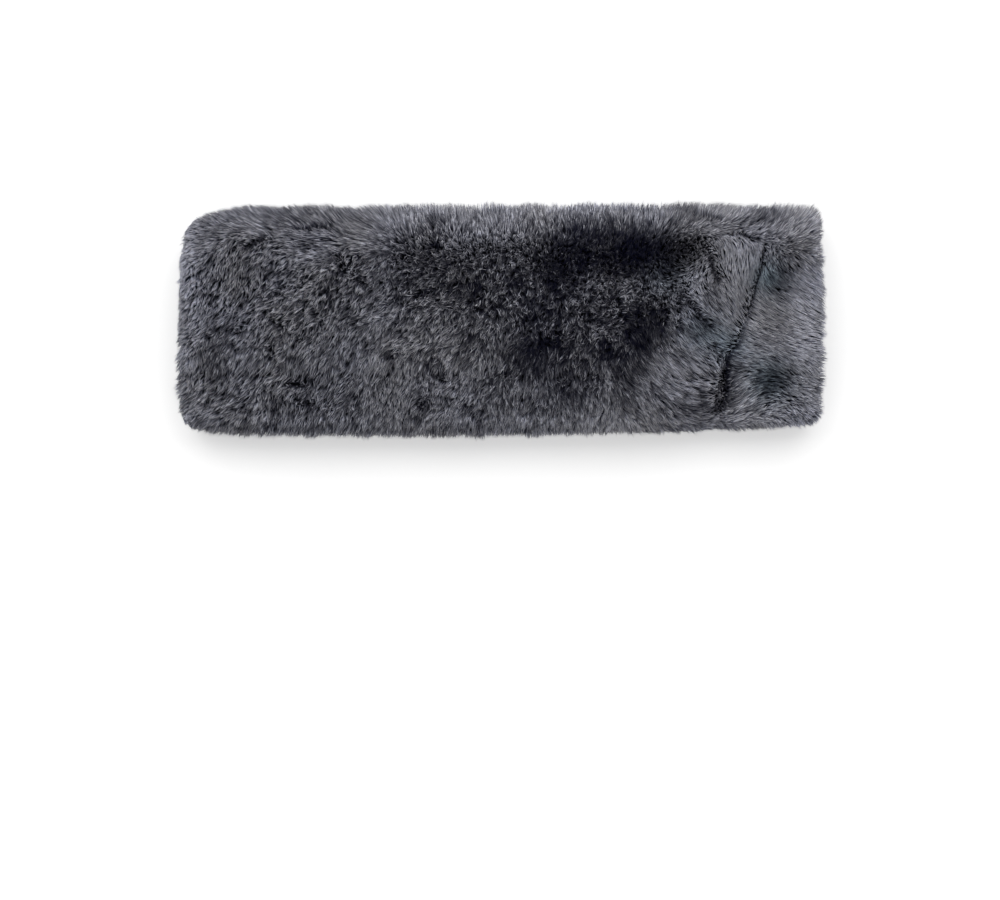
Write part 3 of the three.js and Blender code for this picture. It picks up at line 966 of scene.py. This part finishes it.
# %% Make the wool
STRAND_WIDTH = 0.205 * MM
WIDTH_SPREAD = (0.7, 1.3)


def wool_piece(name, weights=1.0, stray=0.35 * MM, lean_scale=1.0, width=1.0):
    """One group of strands, from the draw of its ends to its mesh."""
    ends, normals = draw_ends(GROUPS[name], COUNTS[name], weights)
    locks = np.array([lock_tree.find(p)[1] for p in ends.tolist()])
    lean, tufting = combed_at(ends, normals, lean_scale)
    roots, bends, tips = curves_for(ends, normals, lean, tufting, locks, stray)
    widths = STRAND_WIDTH * width * rng.uniform(*WIDTH_SPREAD, len(ends))
    seen = ends - SEEN_BACK * LEAN_REACH * lean
    dyes_with_shade = strand_dyes_with_shade(seen, tufting, lock_edge(ends, locks), locks)
    made = lay_strands(name, roots, bends, tips, widths, dyes_with_shade)
    print(f"{name}: {len(ends)} strands, {len(made.data.polygons)} faces")
    return made


rim_weights = np.where(face_up > 0, RIM_WEIGHTS[1], RIM_WEIGHTS[0])
wool_pieces = [wool_piece(f"wool_front_{letter}") for letter in "abcd"] + [
    wool_piece("wool_rims", weights=rim_weights, stray=0.5 * MM, lean_scale=0.8),
    wool_piece("wool_back", stray=0.1 * MM, lean_scale=0.9, width=1.7),
]

# %% [markdown]
# ## Colour from root to tip
# The light doesn't reach the roots, so a strand is dark at its root and full at its tip, and it
# turns bluer where it gets darker. That is a group, because the strands, the underwool and the
# suede share it: it takes a dye and a rise and gives a colour, with a fine grain over it.


# %% Shader group for dyed wool and its painted root shade
def new_group(name, inputs, outputs):
    """An empty node group with these sockets, its tree, and its two ends."""
    tree = bpy.data.node_groups.new(name, "ShaderNodeTree")
    for socket, (kind, value) in inputs.items():
        made = tree.interface.new_socket(socket, in_out="INPUT", socket_type=kind)
        made.default_value = value
    for socket, kind in outputs.items():
        tree.interface.new_socket(socket, in_out="OUTPUT", socket_type=kind)
    return tree, tree.nodes.new("NodeGroupInput"), tree.nodes.new("NodeGroupOutput")


DEEPENING = (1.2, 1.15, 1.0)  # red and green go first where the painted root shade and the grain darken the wool, so painted shade turns bluer

dye_and_root_shade, entry, exit_node = new_group(
    "dye_and_root_shade",
    {
        "Dye": ("NodeSocketColor", (0.1, 0.1, 0.12, 1)),
        "Rise": ("NodeSocketFloat", 1.0),
        "Root Shade": ("NodeSocketFloat", 0.3),
        "Grain": ("NodeSocketFloat", 0.3),
        "Grain Scale": ("NodeSocketFloat", 900.0),
    },
    {"Color": "NodeSocketColor", "Grain": "NodeSocketFloat"},
)
coordinates = node(dye_and_root_shade, "TexCoord")
speckle = node(
    dye_and_root_shade,
    "TexNoise",
    {"Vector": coordinates.outputs["Object"], "Scale": entry.outputs["Grain Scale"], "Detail": 2.0},
)
# painted root shade: the colour falls from Root Shade at the root to full near the tip
climb = node(
    dye_and_root_shade,
    "MapRange",
    {
        "Value": entry.outputs["Rise"],
        "From Min": 0.2,
        "From Max": 0.9,
        "To Min": entry.outputs["Root Shade"],
    },
    interpolation_type="SMOOTHSTEP",
)
grained = node(
    dye_and_root_shade,
    "MapRange",
    {
        "Value": speckle.outputs[0],
        "From Min": 0.3,
        "From Max": 0.7,
        "To Min": maths(dye_and_root_shade, "SUBTRACT", 1.0, entry.outputs["Grain"]),
        "To Max": maths(dye_and_root_shade, "ADD", 1.0, entry.outputs["Grain"]),
    },
)
level = maths(dye_and_root_shade, "MULTIPLY", climb.outputs[0], grained.outputs[0])
levels = node(dye_and_root_shade, "CombineXYZ", {"X": level, "Y": level, "Z": level})
powers = {0: levels.outputs[0], 1: DEEPENING}
deepened = node(dye_and_root_shade, "VectorMath", powers, operation="POWER")
factors = {0: entry.outputs["Dye"], 1: deepened.outputs["Vector"]}
coloured = node(dye_and_root_shade, "VectorMath", factors, operation="MULTIPLY")
dye_and_root_shade.links.new(coloured.outputs["Vector"], exit_node.inputs["Color"])
dye_and_root_shade.links.new(speckle.outputs[0], exit_node.inputs["Grain"])
print("group dye_and_root_shade:", len(dye_and_root_shade.nodes), "nodes")

# %% Wool material
wool_material, wool_tree = shader_tree("strands_dye_and_shade")
dye_and_shade_node = node(wool_tree, "Attribute", attribute_name="dye_and_painted_shade")
rise_node = node(wool_tree, "Attribute", attribute_name="wool_rise")
wool_colour = node(
    wool_tree,
    "Group",
    {
        "Dye": dye_and_shade_node.outputs["Color"],
        "Rise": rise_node.outputs["Fac"],
        "Root Shade": 0.15,
        "Grain": 0.18,
    },
    node_tree=dye_and_root_shade,
)
wool_shader = node(
    wool_tree,
    "BsdfPrincipled",
    {
        "Base Color": wool_colour.outputs["Color"],
        "Roughness": 0.6,
        "Specular IOR Level": 0.04,
        "Sheen Weight": 0.01,
        "Sheen Roughness": 0.4,
        "Sheen Tint": (0.85, 0.87, 1.0, 1),
    },
)
surface(wool_tree, wool_shader)
for piece in wool_pieces:
    piece.data.materials.append(wool_material)
    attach(piece, "root")
print("wool material on", len(wool_pieces), "pieces")

# %% [markdown]
# ## Underwool and hide
# Between the strands the eye meets the underwool, a dense mat painted dark for the shade deep
# in the pile, which also takes the painted shade and light of the front. It is the skin's copy
# drawn in towards the hide, so it follows every hollow and parting of the fleece. At the corners
# and over the cut ends it goes in further with the strands, so that they still cover it. The
# inside of the same copy isn't moved: it is the suede that the belt runs on, and the hide's cut
# edges.

# %% Draw in the skin
UNDERWOOL_SHARE = 0.72  # how high the mat stands in the pile
# the mat's dye, darkened far below the strands' as painted shade deep in the pile
UNDERWOOL_DYE_AND_SHADE = np.array([0.006, 0.007, 0.010])
END_GAP = 0.8 * MM  # how much further in the mat stands at the cut ends

wool_point = ~hide_point
foot, height = feet(skin_points[wool_point])
drawn = skin_points.copy()
outwards = (skin_points[wool_point] - foot) / height[:, None]
drawn[wool_point] = foot + outwards * (UNDERWOOL_SHARE * height)[:, None]
drawn[wool_point] += corner_pull(skin_points[wool_point, :2] / MM)
end_pull = np.minimum(end_spread(skin_points, skin_normals)[wool_point] - END_GAP, 0)
end_pull *= np.abs(skin_normals[wool_point, 0]) * ease(height / FULL_PILE)
drawn[wool_point] += skin_normals[wool_point] * end_pull[:, None]
for vert, place in zip(skin_bm.verts, drawn.tolist()):
    vert.co = place
for face, leather in zip(skin_bm.faces, hide_face):
    face.material_index = int(leather)
    face.smooth = True
fleece_mesh = bpy.data.meshes.new("fleece_and_hide")
skin_bm.to_mesh(fleece_mesh)
skin_bm.free()
# the mat's colour: this dye and painted shade, times its uneven tone and the painted shade and light of
# the front
set_dye_and_painted_shade(fleece_mesh, UNDERWOOL_DYE_AND_SHADE * tone_and_painted_shade(skin_points)[:, None])
fleece = new_object("fleece_and_hide", fleece_mesh)
print(f"underwool and hide: {len(fleece_mesh.polygons)} faces")

# %% Underwool and suede materials
SUEDE_DYE = (0.05, 0.05, 0.056, 1)


def grained_surface(tree, dye, grain, grain_scale, strength, depth, looks):
    """The surface of a material whose dye has a grain that also stands out as bumps."""
    dyeing = {"Dye": dye, "Grain": grain, "Grain Scale": grain_scale}
    colour = node(tree, "Group", dyeing, node_tree=dye_and_root_shade)
    relief = {"Height": colour.outputs["Grain"], "Strength": strength, "Distance": depth}
    bump = node(tree, "Bump", relief)
    inputs = {"Base Color": colour.outputs["Color"], "Normal": bump.outputs[0], **looks}
    surface(tree, node(tree, "BsdfPrincipled", inputs))


underwool_material, under_tree = shader_tree("underwool")
under_dye_and_shade = node(under_tree, "Attribute", attribute_name="dye_and_painted_shade").outputs["Color"]
under_looks = {"Roughness": 0.95, "Specular IOR Level": 0.03}
# the underwool's dye input carries its painted shade
grained_surface(under_tree, under_dye_and_shade, 0.5, 1400.0, 0.8, 0.4 * MM, under_looks)

suede_material, suede_tree = shader_tree("suede")
suede_looks = {"Roughness": 0.92, "Sheen Weight": 0.25, "Sheen Roughness": 0.6}
grained_surface(suede_tree, SUEDE_DYE, 0.35, 2200.0, 0.5, 0.15 * MM, suede_looks)
fleece.data.materials.append(underwool_material)
fleece.data.materials.append(suede_material)
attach(fleece, "root")
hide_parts("sheepskin")
print("hide dressed with", [m.name for m in fleece.data.materials])

# %% [markdown]
# ## Hook tape and loop tape
# Both tapes are woven bands with a field of hooks or loops on the face and a plain selvedge
# along each edge, where they are sewn on. Each band takes the back part of its CAD solid, and
# the hooks or loops fill the rest of its thickness. One hook is a three-sided tube: up from the
# band, then spun round into a crook. One loop is the same tube spun through half a turn.

# %% Tape sizes
BAND_THICKNESS = 0.5 * MM
BAND_ROUNDING = 0.12 * MM
SELVEDGE = 2.2 * MM
HOOK_PITCH = 1.7 * MM
HOOK_WIRE = 0.1 * MM
HOOK_STEM = 0.42 * MM
HOOK_CROOK = 0.19 * MM
HOOK_TURN = math.radians(200)
LOOP_PITCH = 1.9 * MM
LOOP_WIRE = 0.09 * MM
LOOP_RADIUS = 0.34 * MM
LOOP_HEIGHT = 0.9 * MM
LOOP_TURN = math.radians(180)
SCATTER = 0.12  # how far a hook or loop stands off its place, of the pitch
SKEW = np.array([[0.8, 0.25], [0.55, 0.35], [0.15, 0.9]])  # what x, y and z give on the map


# %% Model a band, a hook and a loop
def band(name, low, high):
    """The woven band of a tape, a box with rounded edges."""
    bm = bmesh.new()
    place = Matrix.Translation((low + high) / 2) @ Matrix.Diagonal((*(high - low), 1))
    bmesh.ops.create_cube(bm, size=1, matrix=place)
    bmesh.ops.bevel(bm, geom=bm.edges[:], offset=BAND_ROUNDING, segments=2, affect="EDGES", profile=0.5)
    mesh = bpy.data.meshes.new(name)
    bm.to_mesh(mesh)
    bm.free()
    mesh.shade_smooth()
    return new_object(name, mesh)


def spun_wire(radius, stem, crook, angle, steps):
    """The points and faces of a wire that rises by stem and is then spun about a centre."""
    bm = bmesh.new()
    bmesh.ops.create_circle(bm, cap_ends=True, segments=3, radius=radius)
    ends = bm.faces[:]
    if stem:
        risen = bmesh.ops.extrude_face_region(bm, geom=ends)["geom"]
        verts = [g for g in risen if isinstance(g, bmesh.types.BMVert)]
        bmesh.ops.translate(bm, verts=verts, vec=(0, 0, stem))
        ends = [g for g in risen if isinstance(g, bmesh.types.BMFace)]
    bmesh.ops.spin(bm, geom=ends, cent=(crook, 0, stem), axis=(0, 1, 0), angle=angle, steps=steps)
    bmesh.ops.remove_doubles(bm, verts=bm.verts, dist=1e-7)
    bmesh.ops.triangulate(bm, faces=bm.faces)
    bmesh.ops.recalc_face_normals(bm, faces=bm.faces)
    shape = shape_of(bm)
    bm.free()
    return shape


def skewed_map(points):
    """A flat map of a small shape, seen a little askew, so that no face is edge on."""
    flat = points @ SKEW
    flat = flat - flat.min(axis=0)
    return flat / flat.max()


def field(name, shape, low, high, pitch, base_z, upwards, any_turn):
    """Copies of a small shape over the face of a tape, between its selvedges."""
    shape_points, shape_faces = shape
    columns = np.arange(low.x + pitch / 2, high.x - pitch / 2, pitch)
    first, last = low.y + SELVEDGE, high.y - SELVEDGE
    lines = np.linspace(first, last, round((last - first) / pitch))
    x, y = [grid.ravel() for grid in np.meshgrid(columns, lines)]
    count = len(x)
    turn = rng.uniform(0, 2 * math.pi, count) if any_turn else math.pi * (np.arange(count) % 2)
    cos, sin = np.cos(turn)[:, None], np.sin(turn)[:, None]
    scatter = rng.uniform(-SCATTER, SCATTER, (2, count)) * pitch
    across = shape_points[:, 0] * cos - shape_points[:, 1] * sin + (x + scatter[0])[:, None]
    along = shape_points[:, 0] * sin + shape_points[:, 1] * cos + (y + scatter[1])[:, None]
    height = base_z + upwards * shape_points[:, 2] + np.zeros((count, 1))
    faces = shape_faces if upwards > 0 else shape_faces[:, ::-1]
    return copies(name, np.stack([across, along, height], axis=2), faces, skewed_map(shape_points))


hook = spun_wire(HOOK_WIRE, HOOK_STEM, HOOK_CROOK, HOOK_TURN, 4)
loop = spun_wire(LOOP_WIRE, 0, LOOP_RADIUS, LOOP_TURN, 5)
loop[0][:, 2] *= LOOP_HEIGHT / loop[0][:, 2].max()
print(f"hook {hook[0][:, 2].max() / MM:.2f} mm high, loop {loop[0][:, 2].max() / MM:.2f} mm")

# %% Lay the tapes
hook_face = hook_low.z + BAND_THICKNESS
loop_face = loop_high.z - BAND_THICKNESS
hook_band = band("hook_band", hook_low, Vector((hook_high.x, hook_high.y, hook_face)))
loop_band = band("loop_band", Vector((loop_low.x, loop_low.y, loop_face)), loop_high)
hooks = field("hooks", hook, hook_low, hook_high, HOOK_PITCH, hook_face, 1, any_turn=False)
loops = field("loops", loop, loop_low, loop_high, LOOP_PITCH, loop_face, -1, any_turn=True)
print("hooks and loops:", len(hooks.data.polygons), "and", len(loops.data.polygons), "faces")

# %% [markdown]
# ## Stitching
# Each tape is sewn down along both selvedges, in stitches 3 mm long. Every stitch is a short
# rounded bead of thread that sinks into the band at both ends.

# %% Sew the tapes on
STITCH_PITCH = 3 * MM
STITCH_LENGTH = 2.5 * MM
THREAD = 0.17 * MM

stitch_bm = bmesh.new()
bmesh.ops.create_uvsphere(stitch_bm, u_segments=6, v_segments=5, radius=1)
bmesh.ops.rotate(stitch_bm, verts=stitch_bm.verts, matrix=Matrix.Rotation(math.pi / 2, 3, "Y"))
bmesh.ops.scale(stitch_bm, verts=stitch_bm.verts, vec=(STITCH_LENGTH / 2, THREAD, THREAD))
bmesh.ops.triangulate(stitch_bm, faces=stitch_bm.faces)
stitch_points, stitch_faces = shape_of(stitch_bm)
stitch_bm.free()


def seam(name, low, high, face_z):
    """Two rows of stitches, one along each selvedge of a tape."""
    count = math.floor((high.x - low.x) / STITCH_PITCH)
    along = (np.arange(count) - (count - 1) / 2) * STITCH_PITCH + (low.x + high.x) / 2
    rows = [low.y + SELVEDGE / 2, high.y - SELVEDGE / 2]
    places = np.array([(x, y, face_z) for y in rows for x in along])
    points = places[:, None] + stitch_points[None]
    return copies(name, points, stitch_faces, skewed_map(stitch_points))


hook_seam = seam("hook_tape_stitches", hook_low, hook_high, hook_face)
loop_seam = seam("loop_tape_stitches", loop_low, loop_high, loop_face)
print("stitches:", len(hook_seam.data.polygons) // len(stitch_faces), "on each tape")


# %% Tape materials
WEAVE_SCALE = 520.0  # yarns about 0.6 mm apart
WEAVE_DEPTH = 0.1 * MM
HOOK_BLACK = (0.011, 0.012, 0.014)
LOOP_BLACK = (0.014, 0.015, 0.018)
THREAD_GREY = (0.022, 0.022, 0.026)


def nylon(name, colour, roughness, weave=0.0):
    """Dyed nylon, with the bump of a plain weave where it is a woven band."""
    material, tree = shader_tree(name)
    inputs = {"Base Color": (*colour, 1), "Roughness": roughness, "Specular IOR Level": 0.4}
    if weave:
        place = node(tree, "TexCoord").outputs["Object"]
        waves = {"Vector": place, "Scale": WEAVE_SCALE}
        warp = node(tree, "TexWave", waves, bands_direction="X")
        weft = node(tree, "TexWave", waves, bands_direction="Y")
        crossed = maths(tree, "MULTIPLY", warp.outputs["Fac"], weft.outputs["Fac"])
        yarns = {"Height": crossed, "Strength": weave, "Distance": WEAVE_DEPTH}
        inputs["Normal"] = node(tree, "Bump", yarns).outputs[0]
    surface(tree, node(tree, "BsdfPrincipled", inputs))
    return material


thread = nylon("sewing_thread", THREAD_GREY, 0.6)
for tape, pieces in {
    "hook_tape": [
        (hook_band, nylon("hook_band", HOOK_BLACK, 0.55, 0.6)),
        (hooks, nylon("hooks", HOOK_BLACK, 0.35)),
        (hook_seam, thread),
    ],
    "loop_tape": [
        (loop_band, nylon("loop_band", LOOP_BLACK, 0.65, 0.6)),
        (loops, nylon("loops", LOOP_BLACK, 0.75)),
        (loop_seam, thread),
    ],
}.items():
    for piece, material in pieces:
        piece.data.materials.append(material)
        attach(piece, "root")
    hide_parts(tape)
    print(tape, "dressed with", [piece.name for piece, _ in pieces])
